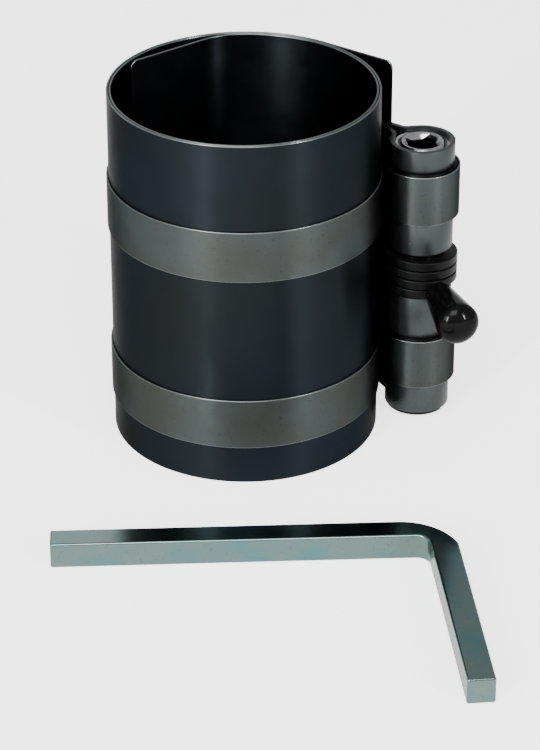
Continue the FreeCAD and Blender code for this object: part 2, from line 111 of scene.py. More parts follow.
class SleeveSizes(bpy.types.PropertyGroup):
    """The rolled sheet and the two bands round it."""

    bore_radius: length("Bore radius", 31.2 * MM, "Inside radius of the rolled sheet")
    sheet: length("Sheet", 0.5 * MM, "Thickness of the sheet")
    layer_gap: length("Layer gap", 0.15 * MM, "Gap between two turns of the sheet")
    flange_azimuth: angle("Flange azimuth", 53.9, "Where the flange leaves the roll")
    flange_length: length("Flange", 19.85 * MM, "Length of the straight flange")
    flange_corner: length("Flange corner", 1.8 * MM, "Corner radius at the flange's end")
    inner_bend_azimuth: angle("Inner bend azimuth", 92.0, "Where the free end leaves the wall")
    inner_bend_radius: length("Inner bend radius", 16.0 * MM, "Bend radius before the free end")
    inner_end_azimuth: angle("Inner end azimuth", 152.0, "Where the free end stops")
    inner_corner: length("Inner corner", 2.0 * MM, "Corner radius at the free end")
    edge: length("Edge rounding", 0.12 * MM, "Rounding of the sheet's edges")
    band: length("Band", 0.45 * MM, "Thickness of a band")
    band_edge: length("Band edge rounding", 0.14 * MM, "Rounding of a band's edges")
    touch: length("Touch gap", 0.05 * MM, "Gap between two pieces that lie on each other")
    tail_bend: length("Tail bend", 1.0 * MM, "Bend radius of a band's tail")
    tail: length("Tail", 2.8 * MM, "Length of a band's riveted tail")
    roll_radius: length("Roll radius", 9.2 * MM, "Outside radius of a band's roll on the spindle")
    outer_wrap: angle("Outer wrap", 300.0, "Angle of the roll's turn that stays with the band")


class ClampSizes(bpy.types.PropertyGroup):
    """The bracket, the spindle and the rivets."""

    sheet: length("Bracket sheet", 1.1 * MM, "Thickness of the bracket")
    edge: length("Bracket edge", 0.24 * MM, "Rounding of the bracket's edges")
    spindle_radius: length("Spindle radius", 5.9 * MM, "Radius of the spindle")
    spindle_edge: length("Spindle edge", 0.12 * MM, "Rounding of the spindle's edges")
    mouth: length("Socket mouth", 4.65 * MM, "Radius of the lead-in cone at the socket's top")
    running: length("Running clearance", 0.05 * MM, "Gap between the spindle and what is round it")
    ring_edge: length("Ring edge", 0.1 * MM, "Rounding of the retaining ring's edges")
    rivet_radius: length("Rivet head", 1.3 * MM, "Radius of a rivet's head")
    rivet_rise: length("Rivet rise", 0.5 * MM, "Height of a rivet's head")
    rivet_clear: length("Rivet clearance", 0.62 * MM, "Distance of a rivet's head from the wall")


class BrakeSizes(bpy.types.PropertyGroup):
    """The coil brake, its lever and the grip."""

    wire_width: length("Wire width", 3.2 * MM, "Radial width of the wire")
    wire_height: length("Wire height", 2.2 * MM, "Height of the wire")
    wire_edge: length("Wire edge", 0.28 * MM, "Rounding of the wire's edges")
    pitch: length("Pitch", 2.5 * MM, "Rise of the coil in one turn")
    lever_azimuth: angle("Lever azimuth", -75.4, "Where the lever leaves the coil")
    lever_turn: angle("Lever turn", 120.0, "Angle of the coil's turn that moves with the lever")
    lever_cut: angle("Lever cut", 22.6, "Room for the lever's travel before the fixed coil")
    lever_bend: length("Lever bend", 2.1 * MM, "Bend radius where the wire leaves the coil")
    tang_bend: length("Tang bend", 2.1 * MM, "Bend radius of the coil's fixed end")
    tang_reach: length("Tang reach", 11.0 * MM, "Distance of the fixed end from the spindle's axis")
    grip_start: length("Grip start", 9.7 * MM, "Start of the grip from the spindle's axis")
    grip_end: length("Grip end", 27.6 * MM, "End of the grip from the spindle's axis")
    grip_root: length("Grip root", 3.5 * MM, "Radius of the grip at its start")
    grip_tip: length("Grip tip", 5.25 * MM, "Radius of the grip near its end")
    grip_dome: length("Grip dome", 3.5 * MM, "Height of the grip's domed end")
    grip_wall: length("Grip wall", 3.0 * MM, "Thickness of the grip beyond the lever's end")
    grip_lip: length("Grip lip", 0.4 * MM, "Rounding of the grip's open end")


class Finishes(bpy.types.PropertyGroup):
    """Colours and gloss."""

    blued: colour("Blued steel", (0.016, 0.0185, 0.019), "Deep colour of the sleeve")
    blued_tint: colour("Blued steel tint", (0.016, 0.0215, 0.027), "Colour of the bluer patches")
    band: colour("Band steel", (0.070, 0.082, 0.082), "Colour of the bands")
    band_spot: colour("Band spots", (0.02, 0.02, 0.02), "Colour of the small spots on the bands")
    edge: colour("Sheared edge", (0.22, 0.24, 0.24), "Colour of the sheets' sheared edges")
    bracket: colour("Bracket steel", (0.070, 0.079, 0.079), "Colour of the bracket")
    bracket_pit: colour("Bracket pits", (0.06, 0.055, 0.05), "Colour of the bracket's small pits")
    bright: colour("Bright steel", (0.58, 0.59, 0.60), "Colour of the spindle")
    # Painted shade together with old oil: this dark colour stands in for the shade inside the
    # socket and along the shaft between the bracket's parts
    oil_and_painted_shade: colour("Oily steel", (0.035, 0.034, 0.032), "Colour of the shaft and inside the socket")
    oil_and_painted_shade_depth: length("Oily depth", 1.2 * MM, "Depth below the top where old oil darkens it")
    wire: colour("Spring wire", (0.003, 0.003, 0.003), "Colour of the coil")
    vinyl: colour("Grip vinyl", (0.002, 0.002, 0.002), "Colour of the grip")
    zinc: colour("Zinc plate", (0.118, 0.232, 0.242), "Colour of the key")


class StageSettings(bpy.types.PropertyGroup):
    """Floor, lights and camera."""

    camera_x: length("Camera X", 5.97 * MM, "Place of the camera")
    camera_y: length("Camera Y", -660.95 * MM, "Place of the camera")
    camera_z: length("Camera Z", 390.56 * MM, "Height of the camera")
    look_down: angle("Look down", 29.862, "How far the camera looks down")
    roll: angle("Roll", 0.0905, "How far the camera leans")
    lens: amount("Lens", 147.96, "Focal length in millimetres of a frame 36 mm tall")
    floor: share("Floor", 0.93, "Lightness of the floor")
    floor_glow: amount("Floor glow", 2.2, "Light that the floor adds in the picture alone")
    floor_size: length("Floor size", 6.0, "Width of the floor")
    floor_gap: length("Floor gap", 0.03 * MM, "Distance of the floor below the object")
    sky: amount("Sky", 0.55, "Strength of the light from all round")
    sky_tint: colour("Sky tint", (0.97, 0.985, 1.0), "Colour of the light from all round")
    lamp_distance: length("Lamp distance", 1.3, "Distance of the lamps")
    lamp_power: amount("Lamp power", 1.0, "Share of each lamp's own power")


# Direction, height angle, width and height in metres, and power in watts of each soft lamp
LAMPS = {
    "main_lamp": (-96, 54, 0.7, 0.7, 13.0),
    "left_lamp": (-134, 24, 0.45, 0.5, 6.0),
    "left_strip": (-121, 20, 0.035, 0.5, 13.0),
    "right_strip": (-44, 20, 0.035, 0.5, 10.0),
    "back_lamp": (104, 31, 0.5, 0.4, 0.6),
}


# Outlines and routes


def facing(degrees):
    """Unit vectors in plan for one angle or an array of them: (cos a, sin a)."""
    radians = np.radians(degrees)
    return np.stack([np.cos(radians), np.sin(radians)], axis=-1)


class Route:
    """A line in plan of straight runs, p = p0 + d u, and arcs, p = c - r n(h), as whole arrays.
    h is the heading, n(h) points from the route to the centre, and d is the distance run."""

    def __init__(self, start, heading):
        self.end = np.asarray(start, float)
        self.heading = heading
        self.points = [self.end[None]]
        self.headings = [np.array([heading], float)]

    def through(self, distances):
        """A straight run with a point at each distance."""
        self.points.append(self.end + distances[:, None] * facing(self.heading))
        self.headings.append(np.full(len(distances), float(self.heading)))
        self.end = self.points[-1][-1]
        return self

    def run(self, distance, step=3 * MM):
        count = max(1, math.ceil(distance / step))
        return self.through(np.linspace(0, distance, count + 1)[1:])

    def turn(self, radius, degrees, step=0.5 * MM):
        """An arc, to the left for a positive angle and to the right for a negative one."""
        side = math.copysign(90, degrees)
        centre = self.end + facing(self.heading + side) * radius
        count = max(4, math.ceil(abs(math.radians(degrees)) * radius / step))
        headings = self.heading + np.linspace(0, degrees, count + 1)[1:]
        self.points.append(centre - radius * facing(headings + side))
        self.headings.append(headings)
        self.end = self.points[-1][-1]
        self.heading += degrees
        return self

    def left_to(self, radius, heading):
        return self.turn(radius, (heading - self.heading) % 360)

    def right_to(self, radius, heading):
        return self.turn(radius, -((self.heading - heading) % 360))

    def plan(self):
        """The points, the unit vectors to their left, and the distances along the route."""
        points = np.concatenate(self.points)
        left = facing(np.concatenate(self.headings) + 90)
        steps = np.linalg.norm(np.diff(points, axis=0), axis=1)
        return points, left, np.concatenate([[0], np.cumsum(steps)])


def straight_between(first, second):
    """Heading and length of the common tangent of two circles, each given as centre and radius.
    A radius is positive where the route turns left round it: sin(lean) = (r1 - r2) / gap."""
    gap = np.asarray(second[0]) - np.asarray(first[0])
    distance = float(np.linalg.norm(gap))
    lean = math.asin((first[1] - second[1]) / distance)
    return math.degrees(math.atan2(gap[1], gap[0]) + lean), distance * math.cos(lean)


def rounded_section(width, height, radius, steps=4):
    """Closed outline of a rectangle with round corners, anticlockwise from the lower right.
    Each side has a point close to both of its corners, which keeps its shading flat."""
    signs = np.array([[1, -1], [1, 1], [-1, 1], [-1, -1]])
    centres = signs * (np.array([width, height]) / 2 - radius)
    angles = np.array([-90, 0, 90, 180])[:, None] + np.linspace(0, 90, steps + 1)
    arcs = centres[:, None] + radius * facing(angles)
    beside = 0.4 * radius
    before = arcs[:, :1] - beside * facing(angles[:, :1] + 90)
    after = arcs[:, -1:] + beside * facing(angles[:, -1:] + 90)
    return np.concatenate([before, arcs, after], axis=1).reshape(-1, 2)


# Meshes


def placed_piece(mesh, body, material, slot, replaced, smooth=35.0):
    """An object at the origin that rides on a body, has a material and replaces its nodes. The slot
    is not used.
    """
    if not mesh.polygons:
        raise RuntimeError(mesh.name + " came out empty")
    mesh.shade_smooth()
    mesh.set_sharp_from_angle(angle=math.radians(smooth))
    mesh.materials.append(material)
    piece = bpy.data.objects.new(mesh.name, mesh)
    bpy.context.scene.collection.objects.link(piece)
    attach(piece, body)
    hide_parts(*replaced)
    return piece


def new_piece(name, vertices, faces, **where):
    """A piece made of a grid's points and faces."""
    mesh = bpy.data.meshes.new(name)
    mesh.from_pydata(vertices.reshape(-1, 3).tolist(), [], faces)
    return placed_piece(mesh, **where)


def tube_faces(rows, columns):
    """Quads between the rows of a grid whose columns go round, and a face across each end."""
    index = np.arange(rows * columns).reshape(rows, columns)
    turned = np.roll(index, -1, axis=1)
    quads = np.stack([index[:-1], turned[:-1], turned[1:], index[1:]], axis=-1)
    return [*quads.reshape(-1, 4).tolist(), index[0, ::-1].tolist(), index[-1].tolist()]


def flow_map(piece, rows, columns, along, across):
    """A UV map in metres on the grid's quads: u runs along the piece, v up from its middle."""
    uv = piece.data.uv_layers.new(name="Flow")
    u = np.stack([along[:-1], along[:-1], along[1:], along[1:]], axis=-1)
    v = np.stack([across[:-1], across[1:], across[1:], across[:-1]], axis=-1)
    quads = np.empty((rows - 1, columns, 4, 2))
    quads[..., 0] = u[:, None, :]
    quads[..., 1] = v[None, :, :]
    values = np.zeros(len(uv.data) * 2, np.float32)
    values[: quads.size] = quads.ravel()
    uv.data.foreach_set("uv", values)


def swept_piece(name, route, section, middle, stretch, **where):
    """A closed section swept along a route:
    p(s, t) = route(s) + a(t) left(s) + (middle(s) + b(t) stretch(s)) up."""
    points, left, along = route.plan()
    grid = np.empty((len(points), len(section), 3))
    grid[..., :2] = points[:, None] + left[:, None] * section[None, :, :1]
    grid[..., 2] = np.reshape(middle, (-1, 1)) + section[None, :, 1] * np.reshape(stretch, (-1, 1))
    rows, columns = grid.shape[:2]
    piece = new_piece(name, grid, tube_faces(rows, columns), **where)
    flow_map(piece, rows, columns, along, np.append(section[:, 1], section[0, 1]))
    return piece


def sheet_piece(name, route, thickness, bottom, top, edge, trims=(0, 0), **where):
    """A sheet that stands on its edge, whose corners at either end are rounded by the trims:
    the half height falls by r - sqrt(r^2 - (r - d)^2) at the distance d from an end."""
    along = route.plan()[2]
    half = (top - bottom) / 2
    drop = np.zeros(len(along))
    for radius, distance in zip(trims, (along, along[-1] - along)):
        if radius:
            inside = np.clip(radius - distance, 0, radius)
            drop = drop + radius - np.sqrt(radius**2 - inside**2)
    section = rounded_section(thickness, top - bottom, edge)
    return swept_piece(name, route, section, bottom + half, (half - drop) / half, **where)


def corner_distances(radius, steps=8):
    """Distances from an end that follow its round corner: r (1 - cos a)."""
    return radius * (1 - np.cos(np.radians(np.linspace(0, 90, steps + 1))))[1:]


def turned_grid(outline, count=96):
    """A surface turned about Z, a row for each angle: p(a, t) = (r(t) cos a, r(t) sin a, z(t))."""
    outline = np.asarray(outline, float)
    plan = facing(np.linspace(0, 360, count, endpoint=False))[:, None] * outline[None, :, :1]
    up = np.broadcast_to(outline[None, :, 1:], (count, len(outline), 1))
    return np.concatenate([plan, up], axis=2)


def turned_faces(count, columns):
    """Quads of a turned grid, whose last row joins its first."""
    index = np.arange(count * columns).reshape(count, columns)
    after = np.roll(index, -1, axis=0)
    quads = np.stack([index[:, :-1], after[:, :-1], after[:, 1:], index[:, 1:]], axis=-1)
    return quads.reshape(-1, 4).tolist()


def close_poles(mesh):
    """Joins the points that lie on each other, which closes the poles of a turned surface."""
    shape = bmesh.new()
    shape.from_mesh(mesh)
    bmesh.ops.remove_doubles(shape, verts=shape.verts, dist=SAME_POINT)
    bmesh.ops.recalc_face_normals(shape, faces=shape.faces)
    shape.to_mesh(mesh)
    shape.free()


def lead_in_cone(mouth, top, deepest=1.6 * MM, above=0.4 * MM):
    """A cone about the spindle's axis that widens a socket: r(z) = mouth + z - top."""
    slope = [(mouth + rise, top + rise) for rise in (-deepest, above)]
    grid = turned_grid([(0, slope[0][1]), *slope, (0, slope[1][1])]) + [*spindle_axis, 0]
    mesh = bpy.data.meshes.new("lead_in_cone")
    mesh.from_pydata(grid.reshape(-1, 3).tolist(), [], turned_faces(*grid.shape[:2]))
    close_poles(mesh)
    return mesh


def cut_away(mesh, tool):
    """The part of a mesh that lies outside a tool's mesh. Both are used up."""
    solid, cutter = (bpy.data.objects.new(part.name, part) for part in (mesh, tool))
    for part in (solid, cutter):
        bpy.context.scene.collection.objects.link(part)
    difference = solid.modifiers.new("cut", "BOOLEAN")
    difference.operation = "DIFFERENCE"
    difference.solver = "EXACT"
    difference.object = cutter
    evaluated = solid.evaluated_get(bpy.context.evaluated_depsgraph_get())
    result = bpy.data.meshes.new_from_object(evaluated)
    for part in (solid, cutter):
        bpy.data.objects.remove(part)
    for spent in (mesh, tool):
        bpy.data.meshes.remove(spent)
    return result


def softened_piece(node, width, body, material, slot, tool=None):
    """A copy of a node's solid whose points are joined, whose flats are whole faces
    and whose edges are rounded. With a tool, what lies inside the tool is cut away first."""
    shape = bmesh.new()
    shape.from_mesh(frame["nodes"][node].data)
    bmesh.ops.remove_doubles(shape, verts=shape.verts, dist=SAME_CAD_POINT)
    bmesh.ops.dissolve_limit(
        shape, angle_limit=math.radians(FLAT), verts=shape.verts, edges=shape.edges,
        use_dissolve_boundaries=False,
    )
    if tool:
        whole = bpy.data.meshes.new(node + "_whole")
        shape.to_mesh(whole)
        shape.clear()
        opened = cut_away(whole, tool)
        shape.from_mesh(opened)
        bpy.data.meshes.remove(opened)
    least = math.radians(SHARP)
    edges = [edge for edge in shape.edges if edge.is_manifold and edge.calc_face_angle() > least]
    bmesh.ops.bevel(
        shape, geom=edges, offset=width, segments=2, profile=0.5, affect="EDGES", clamp_overlap=True
    )
    mesh = bpy.data.meshes.new(node + "_finished")
    shape.to_mesh(mesh)
    shape.free()
    return placed_piece(mesh, body, material, slot, (node,), smooth=SHADED)


def finish_node(node, material):
    """Gives a node a material and leaves its mesh as it is."""
    slots = frame["nodes"][node].data.materials
    slots.clear()
    slots.append(material)


# Materials


class Shade:
    """A material's node tree, with short ways to add and join nodes."""

    def __init__(self, name):
        material = bpy.data.materials.new(name)
        material.use_nodes = True
        self.tree = material.node_tree
        self.shader = self.tree.nodes["Principled BSDF"]

    def node(self, kind, **values):
        made = self.tree.nodes.new(kind)
        for key, value in values.items():
            setattr(made, key, value)
        return made

    def join(self, source, target):
        self.tree.links.new(source, target)

    def fixed(self, **values):
        """Sets the shader's own sockets, whose names are given with underscores for spaces."""
        for key, value in values.items():
            self.shader.inputs[key.replace("_", " ")].default_value = value

    def place(self):
        """Object coordinates."""
        return self.node("ShaderNodeTexCoord").outputs["Object"]

    def flow(self):
        """The piece's own map, for a pattern that follows the sheet."""
        return self.node("ShaderNodeUVMap", uv_map="Flow").outputs["UV"]

    def effect(self, name, place, **values):
        """The mask of a shared effect at a place, with this material's values."""
        made = self.node("ShaderNodeGroup", node_tree=shared_effect(name))
        self.join(place, made.inputs["Place"])
        for key, value in values.items():
            made.inputs[key.replace("_", " ")].default_value = value
        return made.outputs["Mask"]

    def mixed(self, mask, first, second):
        """A colour between two, by a mask."""
        mix = self.node("ShaderNodeMix", data_type="RGBA")
        self.join(mask, mix.inputs["Factor"])
        for socket, value in ((mix.inputs[6], first), (mix.inputs[7], second)):
            if isinstance(value, bpy.types.NodeSocket):
                self.join(value, socket)
            else:
                socket.default_value = (*value, 1)
        return mix.outputs[2]

    def ranged(self, mask, low, high):
        """A value between two, by a mask."""
        spread = self.node("ShaderNodeMapRange")
        self.join(mask, spread.inputs["Value"])
        spread.inputs["To Min"].default_value = low
        spread.inputs["To Max"].default_value = high
        return spread.outputs["Result"]

    def coloured(self, mask, first, second):
        """The surface's colour, between two by a mask."""
        self.join(self.mixed(mask, first, second), self.shader.inputs["Base Color"])

    def rough(self, mask, low, high):
        """The surface's roughness, between two by a mask."""
        self.join(self.ranged(mask, low, high), self.shader.inputs["Roughness"])

    def relief(self, height, distance, strength):
        """A bump of the surface, by a mask."""
        bump = self.node("ShaderNodeBump")
        bump.inputs["Distance"].default_value = distance
        bump.inputs["Strength"].default_value = strength
        self.join(height, bump.inputs["Height"])
        self.join(bump.outputs["Normal"], self.shader.inputs["Normal"])


def effect_group(name, inputs):
    """An empty shader node group with a place, named values and a mask, and its two end nodes."""
    group = bpy.data.node_groups.new(name, "ShaderNodeTree")
    group.interface.new_socket("Place", in_out="INPUT", socket_type="NodeSocketVector")
    for key, value in inputs.items():
        socket = group.interface.new_socket(key, in_out="INPUT", socket_type="NodeSocketFloat")
        socket.default_value = value
    group.interface.new_socket("Mask", in_out="OUTPUT", socket_type="NodeSocketFloat")
    return group, group.nodes.new("NodeGroupInput"), group.nodes.new("NodeGroupOutput")


def worked_out(group, kind, operation, *terms):
    """The outcome of a math node whose terms are sockets."""
    made = group.nodes.new(kind)
    made.operation = operation
    for term, socket in zip(terms, made.inputs):
        group.links.new(term, socket)
    return made.outputs[0]


def spread_out(group, value, low, high):
    """A value spread so that low and high become 0 and 1."""
    spread = group.nodes.new("ShaderNodeMapRange")
    spread.inputs["From Min"].default_value = low
    spread.inputs["From Max"].default_value = high
    group.links.new(value, spread.inputs["Value"])
    return spread.outputs["Result"]


def noise_of(group, vector, detail, low, high, scale=None):
    """Noise at a scale, or at a scale of 1, spread so that low and high become 0 and 1."""
    noise = group.nodes.new("ShaderNodeTexNoise")
    noise.inputs["Detail"].default_value = detail
    noise.inputs["Scale"].default_value = 1.0
    group.links.new(vector, noise.inputs["Vector"])
    if scale is not None:
        group.links.new(scale, noise.inputs["Scale"])
    return spread_out(group, noise.outputs["Fac"], low, high)


def beyond_group(name, value, axis, sized, low, high):
    """How far one axis of the place, or its size, is beyond a named value:
    the difference spread so that low and high become 0 and 1."""
    group, start, end = effect_group(name, {value: 0.0})
    apart = group.nodes.new("ShaderNodeSeparateXYZ")
    group.links.new(start.outputs["Place"], apart.inputs["Vector"])
    along = apart.outputs[axis]
    if sized:
        along = worked_out(group, "ShaderNodeMath", "ABSOLUTE", along)
    beyond = worked_out(group, "ShaderNodeMath", "SUBTRACT", along, start.outputs[value])
    group.links.new(spread_out(group, beyond, low, high), end.inputs["Mask"])
    return group


def noise_group(name, scale, detail, low, high):
    """Noise of the place at one scale, spread so that low and high become 0 and 1."""
    group, start, end = effect_group(name, {"Scale": scale})
    mask = noise_of(group, start.outputs["Place"], detail, low, high, start.outputs["Scale"])
    group.links.new(mask, end.inputs["Mask"])
    return group


def grain_group(name):
    """Fine lines drawn along one direction: noise of the place stretched by the three values."""
    stretches = {"Along X": 60.0, "Along Y": 6000.0, "Along Z": 6000.0}
    group, start, end = effect_group(name, stretches)
    stretch = group.nodes.new("ShaderNodeCombineXYZ")
    for axis in "XYZ":
        group.links.new(start.outputs["Along " + axis], stretch.inputs[axis])
    stretched = worked_out(
        group, "ShaderNodeVectorMath", "MULTIPLY", start.outputs["Place"], stretch.outputs["Vector"]
    )
    group.links.new(noise_of(group, stretched, 3.0, 0.3, 0.7), end.inputs["Mask"])
    return group


def mottle_group(name):
    """Soft patches."""
    return noise_group(name, scale=60.0, detail=4.0, low=0.32, high=0.68)


def specks_group(name):
    """Small separate specks, where fine noise rises above a level."""
    return noise_group(name, scale=1500.0, detail=2.0, low=0.62, high=0.72)


def edge_group(name):
    """The sheared edges of a sheet: the last stretch of its half height."""
    return beyond_group(name, "Half", "Y", sized=True, low=-0.22 * MM, high=-0.1 * MM)


def below_group(name):
    """What lies below a height: 1 below it and 0 above it, with a short step between."""
    return beyond_group(name, "Height", "Z", sized=False, low=0.15 * MM, high=-0.15 * MM)


EFFECTS = {
    "Rolled grain": grain_group,
    "Mottle": mottle_group,
    "Specks": specks_group,
    "Sheared edges": edge_group,
    "Below a height": below_group,
}


def shared_effect(name):
    """A shared effect's node group, built once."""
    return bpy.data.node_groups.get(name) or EFFECTS[name](name)


def once(maker):
    """Makes a material the first time that it is asked for, and finds it afterwards."""

    def found(values):
        name = "finished_" + maker.__name__
        if name not in bpy.data.materials:
            maker(Shade(name), values)
        return bpy.data.materials[name]

    return found


def times(tone, factors):
    """A colour multiplied by one factor, or by a factor for each of its parts."""
    return np.multiply(tone, factors).tolist()


@once
def blued_steel(shade, finish):
    """Dark oxide on rolled spring steel, bluer in patches, with faint lines and bright edges."""
    flow = shade.flow()
    patches = shade.effect("Mottle", shade.place(), Scale=26.0)
    lines = shade.effect("Rolled grain", flow, Along_X=90.0, Along_Y=9000.0, Along_Z=1.0)
    smudges = shade.effect("Mottle", shade.place(), Scale=140.0)
    edges = shade.effect("Sheared edges", flow, Half=half_height("sleeve"))
    tint = shade.mixed(patches, finish.blued, finish.blued_tint)
    shade.coloured(edges, tint, finish.edge)
    shade.rough(smudges, 0.31, 0.38)
    shade.relief(lines, 0.002 * MM, 0.3)
    shade.fixed(Metallic=1.0, Specular_Tint=(0.5, 0.5, 0.5, 1))
    shade.fixed(Anisotropic=0.8, Anisotropic_Rotation=0.25)


@once
def band_steel(shade, finish):
    """Satin rolled strip with long fine lines, faint brown patches and brighter edges."""
    flow = shade.flow()
    lines = shade.effect("Rolled grain", flow, Along_X=70.0, Along_Y=7000.0, Along_Z=1.0)
    patches = shade.effect("Mottle", shade.place(), Scale=70.0)
    specks = shade.effect("Specks", shade.place(), Scale=1400.0)
    edges = shade.effect("Sheared edges", flow, Half=half_height("upper_band"))
    ground = shade.mixed(patches, finish.band, times(finish.band, (0.86, 0.80, 0.72)))
    spotted = shade.mixed(shade.ranged(specks, 0.0, 0.35), ground, finish.band_spot)
    shade.coloured(edges, spotted, finish.edge)
    shade.rough(lines, 0.3, 0.42)
    shade.relief(lines, 0.003 * MM, 0.5)
    shade.fixed(Metallic=1.0, Specular_Tint=(0.35, 0.35, 0.35, 1))
    shade.fixed(Anisotropic=0.7, Anisotropic_Rotation=0.25)


@once
def bracket_steel(shade, finish):
    """Pressed sheet, satin, with faint pits."""
    patches = shade.effect("Mottle", shade.place(), Scale=120.0)
    lines = shade.effect(
        "Rolled grain", shade.place(), Along_X=2500.0, Along_Y=2500.0, Along_Z=160.0
    )
    specks = shade.effect("Specks", shade.place(), Scale=1700.0)
    ground = shade.mixed(patches, finish.bracket, times(finish.bracket, 0.8))
    shade.coloured(shade.ranged(specks, 0.0, 0.4), ground, finish.bracket_pit)
    shade.rough(patches, 0.26, 0.36)
    shade.relief(lines, 0.003 * MM, 0.5)
    shade.fixed(Metallic=0.9)


@once
def bright_steel(shade, finish):
    """Turned steel with fine rings."""
    rings = shade.effect(
        "Rolled grain", shade.place(), Along_X=300.0, Along_Y=300.0, Along_Z=9000.0
    )
    smudges = shade.effect("Mottle", shade.place(), Scale=300.0)
    shade.coloured(smudges, finish.bright, times(finish.bright, 0.7))
    shade.rough(smudges, 0.14, 0.26)
    shade.relief(rings, 0.003 * MM, 0.5)
    shade.fixed(Metallic=1.0)


@once
def spindle_steel(shade, finish):
    """Turned steel, bright at the worn top end and darker below it: painted shade inside the socket
    and along the shaft, together with old oil.
    """
    place = shade.place()
    smudges = shade.effect("Mottle", place, Scale=500.0)
    painted_shade_level = heights("spindle")[1] - finish.oil_and_painted_shade_depth
    # Painted shade with old oil: everything below this level takes the dark colour
    oil_and_painted_shade = shade.effect("Below a height", place, Height=painted_shade_level)
    ground = shade.mixed(smudges, finish.bright, times(finish.bright, 0.6))
    shade.coloured(oil_and_painted_shade, ground, finish.oil_and_painted_shade)
    shade.rough(smudges, 0.12, 0.22)
    shade.relief(smudges, 0.01 * MM, 0.4)
    shade.fixed(Metallic=1.0)


@once
def rivet_steel(shade, finish):
    """Dark headed rivets, worn brighter in patches."""
    worn = shade.effect("Mottle", shade.place(), Scale=600.0)
    shade.coloured(worn, times(finish.bracket, 0.4), finish.bracket)
    shade.rough(worn, 0.35, 0.25)
    shade.relief(worn, 0.01 * MM, 0.5)
    shade.fixed(Metallic=0.9)


@once
def spring_wire(shade, finish):
    """Dark oiled wire."""
    smudges = shade.effect("Mottle", shade.place(), Scale=400.0)
    shade.coloured(smudges, finish.wire, times(finish.wire, 1.8))
    shade.rough(smudges, 0.32, 0.44)
    shade.relief(smudges, 0.004 * MM, 0.4)
    shade.fixed(Metallic=0.3, Specular_IOR_Level=0.16)


@once
def grip_vinyl(shade, finish):
    """Dipped vinyl: soft gloss over faint waves."""
    waves = shade.effect("Mottle", shade.place(), Scale=220.0)
    shade.coloured(waves, finish.vinyl, times(finish.vinyl, 1.6))
    shade.rough(waves, 0.10, 0.16)
    shade.relief(waves, 0.015 * MM, 0.3)
    shade.fixed(Metallic=0.0, Specular_IOR_Level=0.11)


@once
def zinc_plate(shade, finish):
    """Bright zinc plate on a drawn bar: blue-grey, with yellow clouds and small dull spots."""
    clouds = shade.effect("Mottle", shade.place(), Scale=90.0)
    specks = shade.effect("Specks", shade.place(), Scale=1100.0)
    ground = shade.mixed(clouds, finish.zinc, times(finish.zinc, (1.6, 1.05, 0.9)))
    shade.coloured(shade.ranged(specks, 0.0, 0.5), ground, times(finish.zinc, 0.7))
    shade.rough(clouds, 0.12, 0.2)
    shade.relief(clouds, 0.008 * MM, 0.5)
    shade.fixed(Metallic=1.0)


@once
def studio_floor(shade, values):
    """Matt pale paper with a very faint grain, lit more for the picture than for the steel."""
    grain = shade.effect("Mottle", shade.place(), Scale=900.0)
    shade.coloured(grain, (values.floor,) * 3, (0.995 * values.floor,) * 3)
    seen = shade.node("ShaderNodeMath", operation="MULTIPLY")
    shade.join(shade.node("ShaderNodeLightPath").outputs["Is Camera Ray"], seen.inputs[0])
    seen.inputs[1].default_value = values.floor_glow
    shade.join(seen.outputs["Value"], shade.shader.inputs["Emission Strength"])
    shade.fixed(Roughness=0.9, Specular_IOR_Level=0.1, Emission_Color=(1, 1, 1, 1))


# The sleeve and its bands


def layer_radii(sizes):
    """Middle radii of the sleeve's half turns, from the outside in, and the pitch of its turns."""
    pitch = sizes.sheet + sizes.layer_gap
    return sizes.bore_radius + sizes.sheet / 2 + pitch * np.array([1.5, 1.0, 0.5, 0.0, -0.5]), pitch


def flange_frame(sizes):
    """A function that places a point along the flange, from the roll, and outwards of it."""
    radii, pitch = layer_radii(sizes)

    def placed(along, outwards):
        normal, forward = facing(sizes.flange_azimuth), facing(sizes.flange_azimuth - 90)
        return normal * (pitch / 2 + radii[0] + outwards) + forward * along

    return placed


def where_wall_clears(sizes, outwards):
    """How far along the flange the rolled wall curves away behind a plane parallel to it."""
    radii, pitch = layer_radii(sizes)
    wall = radii[1] + sizes.sheet / 2
    return math.sqrt(wall**2 - (pitch / 2 + radii[0] + outwards) ** 2)


def stack_levels(sizes, clamp):
    """Distances of the stack's planes from the flange's mid plane, counted outwards."""
    back_foot = -(sizes.sheet / 2 + sizes.touch + clamp.sheet / 2)
    front_foot = back_foot - clamp.sheet - sizes.touch
    feet_face = front_foot - clamp.sheet / 2
    tail = feet_face - sizes.touch - sizes.band / 2
    return back_foot, front_foot, feet_face, tail


def rivet_along(sizes, clamp):
    """Place of the rivets along the flange: heads just clear of the rolled wall."""
    head_face = stack_levels(sizes, clamp)[3] - sizes.band / 2 - clamp.rivet_rise
    return where_wall_clears(sizes, head_face) + clamp.rivet_clear + clamp.rivet_radius


def sleeve_route(sizes):
    """Along the flange, round five half turns about two centres, to the free end."""
    radii, pitch = layer_radii(sizes)
    placed = flange_frame(sizes)
    centre = facing(sizes.flange_azimuth) * pitch / 2
    bend_radius = sizes.inner_bend_radius
    bend = (centre + facing(sizes.inner_bend_azimuth) * (radii[4] - bend_radius), bend_radius)
    end = (centre + facing(sizes.inner_end_azimuth) * radii[4], 0)
    heading, distance = straight_between(bend, end)
    corner = corner_distances(sizes.flange_corner)
    route = Route(placed(sizes.flange_length, 0), sizes.flange_azimuth + 90)
    route.through(corner).run(sizes.flange_length - sizes.flange_corner)
    for radius in radii[:4]:
        route.turn(radius, 180)
    route.turn(radii[4], sizes.inner_bend_azimuth - sizes.flange_azimuth)
    route.left_to(bend_radius, heading).run(distance - sizes.inner_corner)
    last = sizes.inner_corner - corner_distances(sizes.inner_corner)[::-1][1:]
    return route.through(np.append(last, sizes.inner_corner))


